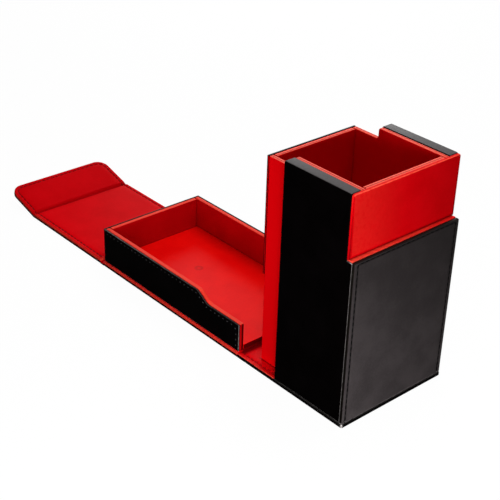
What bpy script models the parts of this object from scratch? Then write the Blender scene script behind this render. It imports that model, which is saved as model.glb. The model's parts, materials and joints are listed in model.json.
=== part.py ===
"""Folding dice tower, standing open: a square shaft with baffles, and a cover strip that unfolds
in front of it into a dice tray, a lid and a closing flap.

Metres, +Z up. The origin is on the table, under the middle of the tower's base panel.
+X is the right side panel, +Y the back, and the strip unfolds towards -Y.
Closed, the tray stands against the tower's neck, the lid lies over the shaft's mouth, and the
flap hangs in the recess of the back, held there by magnets.
"""

import math

import bmesh
import bpy
from mathutils import Matrix, Vector

# Gaps between pieces
FIT_GAP = 0.0003  # between boards
GLUE_LINE = 0.0002  # between a skin and the board under it
OVERRUN = 0.0010  # how far a cutter runs past the face that it cuts

# Sheets and boards
LEATHER = 0.0010  # outer cover leather
LINING = 0.0006
WRAP = 0.0008  # leather turned round the side panels, the back and the base
BASE_BOARD = 0.0012
BASE_LINING = 0.0004
TRAY_BOARD = 0.0020
LID_BOARD = 0.0015
BACK_BOARD = 0.0008
WALL = 0.0032  # walls of the inner box
FACING = 0.0013  # sheet on the front of the neck
BACK_PANEL = 0.0018  # red panel behind the shaft, above the ledge

# Tower
TOWER_HEIGHT = 0.1500
TOWER_WIDTH = 0.0858
COVER_OVERHANG = 0.0003  # cover beyond the side panels, each side
SIDE_THICKNESS = 0.0074
SIDE_DEPTH = 0.0522  # side panels above the ledge, front to back
FOOT_DEPTH = 0.0046  # how much deeper they are below it
RECESS_HEIGHT = 0.0393  # from the ledge up to the tower's top
LEDGE_STRIP = 0.0008
LEDGE_INSET = 0.0004  # strip on the ledge within the side panels' outer faces
LEDGE_SETBACK = 0.0006  # the same strip before the back's face
BASE_LIP = 0.0003  # base edge beyond the back's lower panel
NECK_DROP = 0.0070  # rim of the neck below the tower's top
RIM_SETBACK = 0.0002  # raised rim behind the side panels' front edges
LINING_DROP = 0.0003  # raised rim below the tower's top
EXIT_HEIGHT = 0.0645

# Boards inside the shaft
BAFFLE = 0.0025
BAFFLE_SLOPE_DEG = 35.0
UPPER_BAFFLE_SHARE = 0.685  # baffles' tops, as shares of the neck's height
LOWER_BAFFLE_SHARE = 0.490
BAFFLE_REACH_SHARE = 0.52  # of the shaft's depth
RAMP_SLOPE_DEG = 22.0
RAMP_RISE = 0.0005  # ramp's front edge above the tray's floor

# Tray
TRAY_INSET = 0.0006  # tray's sides within the cover's edges
TRAY_RIM = 0.0300  # rim over the table
LOW_RIM = 0.0238  # rim beside the open end
LOW_RIM_LENGTH = 0.0314
RIM_STEP_LENGTH = 0.0098
RIM_STEP_RADIUS = 0.0080
TRAY_WALL = 0.0033
TRAY_SKIN = 0.0009
TRAY_FLOOR = 0.0033
SKIN_CORNER_SETBACK = 0.0002

# Folds, and what stays clear when the strip is closed
RIM_CLEARANCE = 0.0004  # tray rim to the side panels
NECK_CLEARANCE = 0.0006  # tray floor to the neck
OPEN_END_CLEARANCE = 0.0008  # tray's open end to the base lining
LID_CLEARANCE = 0.0003  # tray end to the tower's top, and lid to tray end
FLAP_STANDOFF = 0.0021  # flap to the back panel
FLAP_TIP_HEIGHT = 0.0089  # closed flap's edge over the ledge
HINGE_SLACK = 0.0035  # base board to the tray's fold line
LID_START = 0.0008  # lid's fold line to the lid
MITRE_CLEARANCE = 0.0003  # crease line to the foot of each mitred panel end
FLAP_REST_TILT_DEG = 15.0
FLAP_CORNER_RADIUS = 0.0090

# Magnets
MAGNET_THICKNESS = 0.0013
FLAP_MAGNET_RADIUS = 0.0050
FLAP_MAGNET_INSET = 0.0065  # from the flap's edge
BACK_MAGNET_INSET = 0.0015  # from the shaft's corners
TRAY_MAGNET_RADIUS = 0.0040
TRAY_MAGNET_DROP = 0.0467  # closed tray's magnet below the neck's top

# Roundings
CORE_CORNER = 0.0004  # a board's corner under its turned skin
WALL_ROUND = 0.0007
BOARD_ROUND = 0.0003
SKIN_ROUND = 0.0002
WRAP_ROUND = 0.0006
RIM_CORNER = 0.0014  # corners of the walls' stepped rims
THINNEST_ROUND_SHARE = 0.3  # the most of a piece's thinnest side that its rounding takes
ROUND_STEPS = 2
ARC_STEPS = 4
DISC_STEPS = 24
SHARP_ANGLE_DEG = 35.0

# Levels over the table
BASE_RIM = LEATHER + GLUE_LINE + BASE_BOARD
BASE_TOP = BASE_RIM + GLUE_LINE + BASE_LINING
TRAY_PANEL_TOP = LEATHER + GLUE_LINE + TRAY_BOARD + GLUE_LINE + LINING
LID_THICKNESS = LEATHER + GLUE_LINE + LID_BOARD + GLUE_LINE + LINING
TRAY_FLOOR_LOW = TRAY_PANEL_TOP + GLUE_LINE
TRAY_FLOOR_TOP = TRAY_FLOOR_LOW + TRAY_FLOOR
PANEL_FOOT = BASE_RIM + GLUE_LINE
BOX_FOOT = BASE_TOP + GLUE_LINE
NECK_TOP = TOWER_HEIGHT - NECK_DROP
LINING_TOP = TOWER_HEIGHT - LINING_DROP
LEDGE_HEIGHT = TOWER_HEIGHT - RECESS_HEIGHT
STEP_HEIGHT = LEDGE_HEIGHT - LEDGE_STRIP - GLUE_LINE

# Places along Y: reaches from the side panels' front edges, then places from the origin
HINGE_REACH = TRAY_RIM + RIM_CLEARANCE
NECK_REACH = HINGE_REACH - TRAY_FLOOR_TOP - NECK_CLEARANCE
BACK_COVER = GLUE_LINE + BACK_BOARD + GLUE_LINE + WRAP
BASE_DEPTH = HINGE_REACH - HINGE_SLACK + SIDE_DEPTH + FOOT_DEPTH + BACK_COVER + BASE_LIP
BASE_REAR = BASE_DEPTH / 2
BASE_FRONT = -BASE_REAR
BACK_FACE = BASE_REAR - BASE_LIP
FOOT_REAR = BACK_FACE - BACK_COVER
SIDE_REAR = FOOT_REAR - FOOT_DEPTH
SIDE_FRONT = SIDE_REAR - SIDE_DEPTH
NECK_FRONT = SIDE_FRONT - NECK_REACH
WALL_FRONT = NECK_FRONT + FACING + GLUE_LINE
SHAFT_FRONT = WALL_FRONT + WALL
SHAFT_REAR = SIDE_REAR - WALL
PANEL_FRONT = SIDE_REAR + FIT_GAP
PANEL_REAR = PANEL_FRONT + BACK_PANEL
TRAY_FOLD_Y = SIDE_FRONT - HINGE_REACH

# Half widths
TOWER_HALF = TOWER_WIDTH / 2
COVER_HALF = TOWER_HALF + COVER_OVERHANG
TRAY_HALF = COVER_HALF - TRAY_INSET
SIDE_INNER = TOWER_HALF - SIDE_THICKNESS
BOX_HALF = SIDE_INNER - GLUE_LINE
SHAFT_HALF = BOX_HALF - WALL

# Runs along the strip, each from the fold line that the piece turns on
TRAY_START = BASE_TOP + OPEN_END_CLEARANCE
TRAY_END = TOWER_HEIGHT + LID_CLEARANCE
LID_FOLD_RUN = TRAY_END + LID_CLEARANCE + LID_THICKNESS
FLAP_FOLD_RUN = PANEL_REAR - TRAY_FOLD_Y + FLAP_STANDOFF + LID_THICKNESS
LID_END = FLAP_FOLD_RUN - MITRE_CLEARANCE
FLAP_END = LID_FOLD_RUN - LEDGE_HEIGHT - FLAP_TIP_HEIGHT
FLAP_MAGNET_RUN = FLAP_END - FLAP_MAGNET_INSET - FLAP_MAGNET_RADIUS

# Magnets: the flap's, and those that they meet behind the recess, then the tray's and the neck's
FLAP_MAGNET_X = SHAFT_HALF - BACK_MAGNET_INSET - FLAP_MAGNET_RADIUS
BACK_MAGNET_HEIGHT = LID_FOLD_RUN - FLAP_MAGNET_RUN
TRAY_MAGNET_RUN = NECK_TOP - TRAY_MAGNET_DROP

FINISHES = {
    "black_leather": ((0.010, 0.010, 0.011), 0.48, 0.0),
    "red_leather": ((0.560, 0.006, 0.010), 0.50, 0.0),
    "grey_board": ((0.300, 0.280, 0.250), 0.90, 0.0),
    "nickel": ((0.550, 0.540, 0.520), 0.30, 1.0),
}

SIDES = (("right", 1), ("left", -1))


def clear_scene():
    for old in list(bpy.data.objects):
        bpy.data.objects.remove(old, do_unlink=True)


def finish_material(name):
    found = bpy.data.materials.get(name)
    if found:
        return found
    colour, roughness, metallic = FINISHES[name]
    made = bpy.data.materials.new(name)
    made.use_nodes = True
    shader = made.node_tree.nodes["Principled BSDF"]
    shader.inputs["Base Color"].default_value = (*colour, 1.0)
    shader.inputs["Roughness"].default_value = roughness
    shader.inputs["Metallic"].default_value = metallic
    made.diffuse_color = (*colour, 1.0)
    return made


def add_object(name, bm, finish, parent, at=(0, 0, 0)):
    bmesh.ops.recalc_face_normals(bm, faces=bm.faces)
    mesh = bpy.data.meshes.new(name)
    bm.to_mesh(mesh)
    bm.free()
    mesh.shade_smooth()
    mesh.set_sharp_from_angle(angle=math.radians(SHARP_ANGLE_DEG))
    mesh.materials.append(finish_material(finish))
    made = bpy.data.objects.new(name, mesh)
    bpy.context.scene.collection.objects.link(made)
    made.parent = parent
    made.location = at
    return made


def add_fold_line(name, parent, y, tilt_deg=0.0):
    """An empty on a fold line, which the pieces beyond the fold hang on."""
    empty = bpy.data.objects.new(name, None)
    bpy.context.scene.collection.objects.link(empty)
    empty.parent = parent
    empty.location.y = y
    empty.rotation_euler.x = -math.radians(tilt_deg)
    return empty


def round_edges(made, width, only_marked=False):
    thinnest = min(made.dimensions)
    bevel = made.modifiers.new("rounded_edges", "BEVEL")
    bevel.width = min(width, thinnest * THINNEST_ROUND_SHARE)
    bevel.segments = ROUND_STEPS
    bevel.limit_method = "WEIGHT" if only_marked else "ANGLE"
    bevel.angle_limit = math.radians(SHARP_ANGLE_DEG)


def outline(corners, radii=None, inset=0.0):
    """A counter-clockwise outline drawn in by an inset, with an arc at each corner that has a radius."""
    corners = [Vector(corner) for corner in corners]
    radii = radii or [0.0] * len(corners)
    points = []
    for number, corner in enumerate(corners):
        along_in = (corner - corners[number - 1]).normalized()
        along_out = (corners[(number + 1) % len(corners)] - corner).normalized()
        normal_in = Vector((-along_in.y, along_in.x))
        normal_out = Vector((-along_out.y, along_out.x))
        bisector = (normal_in + normal_out) / (1 + normal_in.dot(normal_out))
        turn = -normal_in.angle_signed(normal_out)
        side = math.copysign(1, turn)
        drawn_in = corner + bisector * inset
        radius = radii[number] - side * inset
        if radii[number] == 0 or radius <= 0:
            points.append(drawn_in)
            continue
        centre = drawn_in + bisector * radius * side
        for step in range(ARC_STEPS + 1):
            spoke = Matrix.Rotation(turn * step / ARC_STEPS, 2) @ normal_in
            points.append(centre - spoke * radius * side)
    return points


def convex_radii(corners, radius):
    """The same radius at each corner that points outwards, and none at one that points inwards."""
    radii = []
    for number, corner in enumerate(corners):
        along_in = Vector(corner) - Vector(corners[number - 1])
        along_out = Vector(corners[(number + 1) % len(corners)]) - Vector(corner)
        radii.append(radius if along_in.cross(along_out) > 0 else 0)
    return radii


def rectangle(low, high):
    return [low, (high[0], low[1]), high, (low[0], high[1])]


def circle(centre, radius):
    points = []
    for step in range(DISC_STEPS):
        angle = math.tau * step / DISC_STEPS
        points.append((centre[0] + radius * math.cos(angle), centre[1] + radius * math.sin(angle)))
    return points


def seen_from_side(y, z, x):
    return x, y, z


def seen_from_side_by_run(run, z, x):
    return x, -run, z


def seen_from_above(x, y, z):
    return x, y, z


def seen_from_front(x, z, y):
    return x, y, z


def add_loop(bm, points, view, level):
    return [bm.verts.new(view(point[0], point[1], level)) for point in points]


def join_loops(bm, first, second):
    for number in range(len(first)):
        following = (number + 1) % len(first)
        bm.faces.new((first[number], first[following], second[following], second[number]))


def add_prism(name, points, view, levels, finish, rounding=0.0, parent=None, at=(0, 0, 0)):
    """A solid board: an outline in one view, carried from one level to the other."""
    bm = bmesh.new()
    low, high = (add_loop(bm, points, view, level) for level in levels)
    join_loops(bm, low, high)
    bm.faces.new(low)
    bm.faces.new(high)
    made = add_object(name, bm, finish, parent, at)
    if rounding:
        round_edges(made, rounding)
    return made


def add_pan(name, loops, view, finish, rounding, parent=None):
    """A skin that is turned round a board's edges. Its four loops, each with its level, run from
    the closed face to the open rim outside, then from the rim to the pocket's floor inside."""
    bm = bmesh.new()
    made_loops = [add_loop(bm, points, view, level) for points, level in loops]
    for first, second in zip(made_loops, made_loops[1:]):
        join_loops(bm, first, second)
    closed_face = bm.faces.new(made_loops[0])
    bm.faces.new(made_loops[-1])
    marks = bm.edges.layers.float.new("bevel_weight_edge")
    for edge in closed_face.edges:
        edge[marks] = 1.0
    made = add_object(name, bm, finish, parent)
    round_edges(made, rounding, only_marked=True)
    return made


def add_box(name, x, y, z, finish, rounding=BOARD_ROUND, parent=None):
    points = rectangle((x[0], y[0]), (x[1], y[1]))
    return add_prism(name, points, seen_from_above, z, finish, rounding, parent)


def add_wrapped_board(names, corners, view, levels, skin=WRAP, rounding=SKIN_ROUND):
    """Black leather, and the board that it is turned round. Levels: outer face, board's inner face."""
    leather_name, board_name = names
    face, back = levels
    inward = math.copysign(1, back - face)
    radii = convex_radii(corners, skin + CORE_CORNER)
    outer = outline(corners, radii)
    inner = outline(corners, radii, skin)
    floor = face + inward * skin
    loops = [(outer, face), (outer, back), (inner, back), (inner, floor)]
    add_pan(leather_name, loops, view, "black_leather", rounding)
    board = outline(corners, radii, skin + GLUE_LINE)
    add_prism(board_name, board, view, (floor + inward * GLUE_LINE, back), "grey_board")


def add_magnet(name, centre, radius, view, levels, host, mouth, parent=None):
    """A flat disc let into a board. The pocket has room all round and opens at the mouth's level."""
    add_prism(name, circle(centre, radius), view, levels, "nickel", 0, parent)
    outward = math.copysign(1, mouth - sum(levels) / 2)
    bottom = min(levels) if outward > 0 else max(levels)
    pocket_levels = (bottom - outward * FIT_GAP, mouth + outward * OVERRUN)
    pocket = add_prism(
        f"{name}_pocket", circle(centre, radius + FIT_GAP), view, pocket_levels, "nickel", 0, parent
    )
    pocket.hide_render = True
    pocket.display_type = "WIRE"
    cut = host.modifiers.new(pocket.name, "BOOLEAN")
    cut.operation = "DIFFERENCE"
    cut.solver = "EXACT"
    cut.object = pocket


def make_base():
    """The cover's base panel. Its lining is as wide as the cover in front of the side panels,
    and between them it carries the inner box."""
    corners = rectangle((-COVER_HALF, BASE_FRONT), (COVER_HALF, BASE_REAR))
    names = ("base_leather", "base_board")
    add_wrapped_board(names, corners, seen_from_above, (0, BASE_RIM), LEATHER)
    apron_rear = SIDE_FRONT - FIT_GAP
    stem = SIDE_INNER - FIT_GAP
    lining = [
        (-COVER_HALF, BASE_FRONT),
        (COVER_HALF, BASE_FRONT),
        (COVER_HALF, apron_rear),
        (stem, apron_rear),
        (stem, FOOT_REAR),
        (-stem, FOOT_REAR),
        (-stem, apron_rear),
        (-COVER_HALF, apron_rear),
    ]
    levels = (BASE_TOP - BASE_LINING, BASE_TOP)
    add_prism("base_lining", lining, seen_from_above, levels, "red_leather", SKIN_ROUND)


def make_back():
    """What lies behind the shaft: the cover's stitched lower panel, the spacer that fills the depth
    under the ledge, the red strip on the ledge, and the red panel of the flap's recess."""
    corners = rectangle((-COVER_HALF, PANEL_FOOT), (COVER_HALF, STEP_HEIGHT))
    names = ("back_leather", "back_board")
    add_wrapped_board(names, corners, seen_from_front, (BACK_FACE, FOOT_REAR + GLUE_LINE))
    add_box(
        "back_spacer",
        (-SIDE_INNER + FIT_GAP, SIDE_INNER - FIT_GAP),
        (PANEL_FRONT, FOOT_REAR),
        (BOX_FOOT, STEP_HEIGHT),
        "grey_board",
    )
    ledge_half = TOWER_HALF - LEDGE_INSET
    add_box(
        "ledge_strip",
        (-ledge_half, ledge_half),
        (PANEL_FRONT, BACK_FACE - LEDGE_SETBACK),
        (LEDGE_HEIGHT - LEDGE_STRIP, LEDGE_HEIGHT),
        "red_leather",
        SKIN_ROUND,
    )
    add_box(
        "back_panel",
        (-TOWER_HALF, TOWER_HALF),
        (PANEL_FRONT, PANEL_REAR),
        (LEDGE_HEIGHT + GLUE_LINE, TOWER_HEIGHT),
        "red_leather",
        WALL_ROUND,
    )


def make_side_panels():
    """The thick panels beside the shaft, deeper below the ledge than above it."""
    corners = [
        (SIDE_FRONT, PANEL_FOOT),
        (FOOT_REAR, PANEL_FOOT),
        (FOOT_REAR, STEP_HEIGHT),
        (SIDE_REAR, STEP_HEIGHT),
        (SIDE_REAR, TOWER_HEIGHT),
        (SIDE_FRONT, TOWER_HEIGHT),
    ]
    for side, sign in SIDES:
        names = (f"side_leather_{side}", f"side_board_{side}")
        levels = (sign * TOWER_HALF, sign * SIDE_INNER)
        add_wrapped_board(names, corners, seen_from_side, levels, rounding=WRAP_ROUND)


def make_inner_box():
    """The red box that holds the shaft. Its front part is the neck that the closed tray fits round."""
    rim_front = SIDE_FRONT + RIM_SETBACK
    corners = [
        (WALL_FRONT, BOX_FOOT),
        (SIDE_REAR, BOX_FOOT),
        (SIDE_REAR, LINING_TOP),
        (rim_front, LINING_TOP),
        (rim_front, NECK_TOP),
        (WALL_FRONT, NECK_TOP),
    ]
    radii = [0, 0, 0, RIM_CORNER, RIM_CORNER, 0]
    for side, sign in SIDES:
        levels = (sign * SHAFT_HALF, sign * BOX_HALF)
        points = outline(corners, radii)
        add_prism(f"inner_wall_{side}", points, seen_from_side, levels, "red_leather", WALL_ROUND)
    between_walls = (-SHAFT_HALF + FIT_GAP, SHAFT_HALF - FIT_GAP)
    front = add_box(
        "inner_wall_front",
        between_walls,
        (WALL_FRONT, SHAFT_FRONT),
        (EXIT_HEIGHT, NECK_TOP),
        "red_leather",
        WALL_ROUND,
    )
    back = add_box(
        "inner_wall_back",
        between_walls,
        (SHAFT_REAR, SIDE_REAR),
        (BOX_FOOT, LINING_TOP),
        "red_leather",
        WALL_ROUND,
    )
    add_box(
        "front_facing",
        (-BOX_HALF, BOX_HALF),
        (NECK_FRONT, NECK_FRONT + FACING),
        (EXIT_HEIGHT, NECK_TOP),
        "black_leather",
    )
    for side, sign in SIDES:
        add_magnet(
            f"back_magnet_{side}",
            (sign * FLAP_MAGNET_X, BACK_MAGNET_HEIGHT),
            FLAP_MAGNET_RADIUS,
            seen_from_front,
            (SIDE_REAR - MAGNET_THICKNESS, SIDE_REAR),
            back,
            SIDE_REAR,
        )
    add_magnet(
        "neck_magnet",
        (0, TRAY_MAGNET_RUN),
        TRAY_MAGNET_RADIUS,
        seen_from_front,
        (WALL_FRONT, WALL_FRONT + MAGNET_THICKNESS),
        front,
        WALL_FRONT,
    )


def add_slope(name, high_y, high_z, foot_y, slope_deg):
    """A sloping board across the shaft, from its high edge at a wall down to its foot."""
    slope = math.radians(slope_deg)
    upright = BAFFLE / math.cos(slope)
    foot_z = high_z - abs(foot_y - high_y) * math.tan(slope)
    corners = [(high_y, high_z - upright), (foot_y, foot_z - upright), (foot_y, foot_z), (high_y, high_z)]
    across = (-SHAFT_HALF + FIT_GAP, SHAFT_HALF - FIT_GAP)
    add_prism(name, corners, seen_from_side, across, "red_leather", BOARD_ROUND)


def make_baffles():
    """Boards that tumble the dice down the shaft, and the ramp that turns them out through the exit."""
    reach = (SHAFT_REAR - SHAFT_FRONT) * BAFFLE_REACH_SHARE
    front = SHAFT_FRONT + FIT_GAP
    rear = SHAFT_REAR - FIT_GAP
    upper_top = NECK_TOP * UPPER_BAFFLE_SHARE
    lower_top = NECK_TOP * LOWER_BAFFLE_SHARE
    add_slope("upper_baffle", front, upper_top, front + reach, BAFFLE_SLOPE_DEG)
    add_slope("lower_baffle", rear, lower_top, rear - reach, BAFFLE_SLOPE_DEG)
    ramp_fall = (rear - WALL_FRONT) * math.tan(math.radians(RAMP_SLOPE_DEG))
    ramp_top = TRAY_FLOOR_TOP + RAMP_RISE + ramp_fall
    add_slope("exit_ramp", rear, ramp_top, WALL_FRONT, RAMP_SLOPE_DEG)


def make_cover_panel(prefix, parent, start, end, board_thickness, tip_radius=0.0, mitred=()):
    """A stiff panel of the strip: leather below, a board, and a lining turned down round its edges.
    At a mitred end the panel leans back as it rises, so that the fold can close to a right angle."""
    small = LINING + CORE_CORNER
    tip = tip_radius or small
    radii = [tip, tip, small, small]
    board_low = LEATHER + GLUE_LINE
    board_high = board_low + board_thickness
    top = board_high + GLUE_LINE + LINING

    def corners_at(height):
        low = start + (height if "start" in mitred else 0)
        high = end - (height if "end" in mitred else 0)
        return rectangle((-COVER_HALF, -high), (COVER_HALF, -low))

    leather = outline(corners_at(LEATHER), radii)
    levels = (0, LEATHER)
    add_prism(f"{prefix}_leather", leather, seen_from_above, levels, "black_leather", SKIN_ROUND, parent)
    rim = corners_at(board_low)
    face = corners_at(top)
    loops = [
        (outline(face, radii), top),
        (outline(rim, radii), board_low),
        (outline(rim, radii, LINING), board_low),
        (outline(face, radii, LINING), top - LINING),
    ]
    add_pan(f"{prefix}_lining", loops, seen_from_above, "red_leather", SKIN_ROUND, parent)
    board = outline(face, radii, LINING + GLUE_LINE)
    levels = (board_low, board_high)
    return add_prism(f"{prefix}_board", board, seen_from_above, levels, "grey_board", 0, parent)


def make_tray(parent):
    """The open-ended dice tray on its stiff panel."""
    make_cover_panel("tray", parent, TRAY_START, TRAY_END, TRAY_BOARD)
    wall_end = TRAY_END - TRAY_SKIN - GLUE_LINE
    wall_outer = TRAY_HALF - TRAY_SKIN - GLUE_LINE
    wall_inner = wall_outer - TRAY_WALL
    low_end = TRAY_START + LOW_RIM_LENGTH
    corners = [
        (TRAY_START, TRAY_FLOOR_LOW),
        (wall_end, TRAY_FLOOR_LOW),
        (wall_end, TRAY_RIM),
        (low_end + RIM_STEP_LENGTH, TRAY_RIM),
        (low_end, LOW_RIM),
        (TRAY_START, LOW_RIM),
    ]
    radii = [0, 0, 0, RIM_STEP_RADIUS, RIM_STEP_RADIUS, 0]
    points = outline(corners, radii)
    for side, sign in SIDES:
        for name, inner, outer, finish, rounding in (
            ("wall", wall_inner, wall_outer, "red_leather", WALL_ROUND),
            ("skin", wall_outer + GLUE_LINE, TRAY_HALF, "black_leather", SKIN_ROUND),
        ):
            levels = (sign * inner, sign * outer)
            name = f"tray_{name}_{side}"
            add_prism(name, points, seen_from_side_by_run, levels, finish, rounding, parent)
    between_walls = (-wall_inner + FIT_GAP, wall_inner - FIT_GAP)
    add_box(
        "tray_wall_end",
        between_walls,
        (-wall_end, -wall_end + TRAY_WALL),
        (TRAY_FLOOR_LOW, TRAY_RIM),
        "red_leather",
        WALL_ROUND,
        parent,
    )
    skin_half = TRAY_HALF - SKIN_CORNER_SETBACK
    add_box(
        "tray_skin_end",
        (-skin_half, skin_half),
        (-TRAY_END, -TRAY_END + TRAY_SKIN),
        (TRAY_FLOOR_LOW, TRAY_RIM),
        "black_leather",
        SKIN_ROUND,
        parent,
    )
    floor = add_box(
        "tray_floor",
        between_walls,
        (-wall_end + TRAY_WALL + FIT_GAP, -TRAY_START),
        (TRAY_FLOOR_LOW, TRAY_FLOOR_TOP),
        "red_leather",
        BOARD_ROUND,
        parent,
    )
    add_magnet(
        "tray_magnet",
        (0, -TRAY_MAGNET_RUN),
        TRAY_MAGNET_RADIUS,
        seen_from_above,
        (TRAY_FLOOR_LOW, TRAY_FLOOR_LOW + MAGNET_THICKNESS),
        floor,
        TRAY_FLOOR_LOW,
        parent,
    )


def make_flap(parent):
    """The closing flap, with magnets let into its board."""
    mitred = ("start",)
    start = MITRE_CLEARANCE
    board = make_cover_panel("flap", parent, start, FLAP_END, LID_BOARD, FLAP_CORNER_RADIUS, mitred)
    board_low = LEATHER + GLUE_LINE
    for side, sign in SIDES:
        add_magnet(
            f"flap_magnet_{side}",
            (sign * FLAP_MAGNET_X, -FLAP_MAGNET_RUN),
            FLAP_MAGNET_RADIUS,
            seen_from_above,
            (board_low, board_low + MAGNET_THICKNESS),
            board,
            board_low,
            parent,
        )


def add_fold_strip(name, before, after, levels, finish, parent, y, bend_deg=0.0):
    """The soft strip across a fold line, between the stiff panels before and after it. It lies
    flat, or bends up by the given angle at the fold line."""
    low, high = levels
    bend = Matrix.Rotation(math.radians(bend_deg), 2)
    lean = math.tan(math.radians(bend_deg) / 2)
    first = GLUE_LINE - before
    last = after - GLUE_LINE
    corners = [
        Vector((first, low)),
        Vector((-low * lean, low)),
        bend @ Vector((last, low)),
        bend @ Vector((last, high)),
        Vector((-high * lean, high)),
        Vector((first, high)),
    ]
    across = (-COVER_HALF, COVER_HALF)
    add_prism(name, corners, seen_from_side_by_run, across, finish, 0, parent, (0, y, 0))


def make_folds(tray_fold, lid_fold):
    """The leather and the lining that carry on across the three folds. At the tray's fold the
    leather is doubled, and as thick as the base's turned edge."""
    leather = (0, LEATHER)
    lining = (LEATHER + GLUE_LINE, LEATHER + GLUE_LINE + LINING)
    doubled = (0, BASE_RIM)
    over_doubled = (BASE_TOP - BASE_LINING, BASE_TOP)
    mitre = MITRE_CLEARANCE + LEATHER
    lid_slack = LID_FOLD_RUN - TRAY_END
    flap_bend = FLAP_REST_TILT_DEG
    folds = (
        ("tray_hinge", HINGE_SLACK, TRAY_START, doubled, over_doubled, None, TRAY_FOLD_Y, 0.0),
        ("lid_hinge", lid_slack, LID_START, leather, lining, tray_fold, -LID_FOLD_RUN, 0.0),
        ("flap_hinge", mitre, mitre, leather, lining, lid_fold, -FLAP_FOLD_RUN, flap_bend),
    )
    for name, before, after, outside, inside, parent, y, bend_deg in folds:
        for part, levels, finish in (
            ("leather", outside, "black_leather"),
            ("lining", inside, "red_leather"),
        ):
            add_fold_strip(f"{name}_{part}", before, after, levels, finish, parent, y, bend_deg)


def main():
    clear_scene()
    make_base()
    make_back()
    make_side_panels()
    make_inner_box()
    make_baffles()
    tray_fold = add_fold_line("tray_fold_line", None, TRAY_FOLD_Y)
    lid_fold = add_fold_line("lid_fold_line", tray_fold, -LID_FOLD_RUN)
    flap_fold = add_fold_line("flap_fold_line", lid_fold, -FLAP_FOLD_RUN, FLAP_REST_TILT_DEG)
    make_tray(tray_fold)
    make_cover_panel("lid", lid_fold, LID_START, LID_END, LID_BOARD, mitred=("end",))
    make_flap(flap_fold)
    make_folds(tray_fold, lid_fold)


main()
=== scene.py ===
"""Looks of the folding dice tower: leather sheets, turned edges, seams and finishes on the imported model.

Metres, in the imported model's frame: +X is the right side panel, +Y the back, and the strip with the
tray, the lid and the flap lies open towards -Y.
"""

import json
import math

import bmesh
import bpy
from mathutils import Matrix, Vector


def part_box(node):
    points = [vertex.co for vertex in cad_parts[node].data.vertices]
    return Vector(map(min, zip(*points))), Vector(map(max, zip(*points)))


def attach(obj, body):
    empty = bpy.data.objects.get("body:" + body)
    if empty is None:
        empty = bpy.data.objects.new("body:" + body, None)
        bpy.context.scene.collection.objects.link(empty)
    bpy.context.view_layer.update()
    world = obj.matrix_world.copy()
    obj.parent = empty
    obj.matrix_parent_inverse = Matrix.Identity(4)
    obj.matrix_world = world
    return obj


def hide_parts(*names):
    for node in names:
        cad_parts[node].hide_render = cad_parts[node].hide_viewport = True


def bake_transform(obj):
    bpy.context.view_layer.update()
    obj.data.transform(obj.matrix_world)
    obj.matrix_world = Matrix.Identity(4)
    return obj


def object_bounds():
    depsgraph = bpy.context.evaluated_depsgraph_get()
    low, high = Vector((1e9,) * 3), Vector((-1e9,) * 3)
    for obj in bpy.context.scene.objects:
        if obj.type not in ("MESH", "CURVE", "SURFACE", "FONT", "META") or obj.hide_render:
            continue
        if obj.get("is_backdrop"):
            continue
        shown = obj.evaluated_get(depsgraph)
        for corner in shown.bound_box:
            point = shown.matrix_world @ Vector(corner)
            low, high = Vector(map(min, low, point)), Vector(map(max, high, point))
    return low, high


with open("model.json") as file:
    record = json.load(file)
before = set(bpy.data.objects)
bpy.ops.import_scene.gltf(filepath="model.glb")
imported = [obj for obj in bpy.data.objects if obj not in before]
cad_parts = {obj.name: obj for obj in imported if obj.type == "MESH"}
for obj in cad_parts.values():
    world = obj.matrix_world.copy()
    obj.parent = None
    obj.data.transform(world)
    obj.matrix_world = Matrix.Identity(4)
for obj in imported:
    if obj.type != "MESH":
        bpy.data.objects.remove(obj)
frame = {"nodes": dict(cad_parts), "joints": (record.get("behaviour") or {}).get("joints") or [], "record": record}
cad_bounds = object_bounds()

MM = 0.001

# Sheets
TURNED_LINING = 0.6 * MM
EDGE_RISE = 0.65 * MM  # how far the panels' leather is drawn up round their edges
TURNED_LEATHER = 0.8 * MM
BASE_LEATHER = 1.0 * MM
LINING_ROUND = 0.8 * MM
LEATHER_ROUND = 0.35 * MM
WRAP_ROUND = 0.6 * MM
SKIN_ROUND = 0.3 * MM
RIM_ROUND = 0.35 * MM
SHEET_GAP = 0.05 * MM  # where one sheet was split at a fold
SMALL_CORNER = 1.0 * MM
LEAST_RADIUS = 0.05 * MM
FLAP_CORNER = 9.0 * MM
FLAP_TILT = math.radians(15)

# Room
FLOOR_REACH = 4.0
FLOOR_DROP = 0.3 * MM
FLOOR_BOUNCE = 0.07
SHADOW_SHARE = 0.03
ROOM_LIGHT = 0.02
MIRRORED_RAYS = ("Is Glossy Ray", "Is Transmission Ray")

# Folds
FLAP_BEND = 1.8 * MM  # how far each side of the fold line the sheet bends
LID_BEND = 0.8 * MM
TRAY_BEND = 2.5 * MM
VALLEY_FLOOR = 1.2 * MM  # the valley between two boards: half its floor, and half its width
VALLEY_HALF = 3.0 * MM
VALLEY_MARGIN_SHARE = 0.3  # how deep the valley still is at the cover's edges

# Tray sides
LOW_RIM_DROP = 6.2 * MM
LOW_RIM_LENGTH = 31.4 * MM
RIM_STEP_LENGTH = 9.8 * MM
RIM_STEP_RADIUS = 8.0 * MM

MAGNET_MARK = 2.2 * MM
FACING_SKIN = 0.85 * MM  # black leather on the neck's front; its backing is red
# height over which the shaft's painted shade fades out
SHAFT_FADE = 35 * MM
NECK_CREASE = 1.4 * MM  # from the neck walls' outer faces
OPEN_END_CREASE = 1.6 * MM  # from the tray walls' inner faces
RECESS_ROUND = 0.7 * MM
RECESS_CORNER = 1.6 * MM

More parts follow.
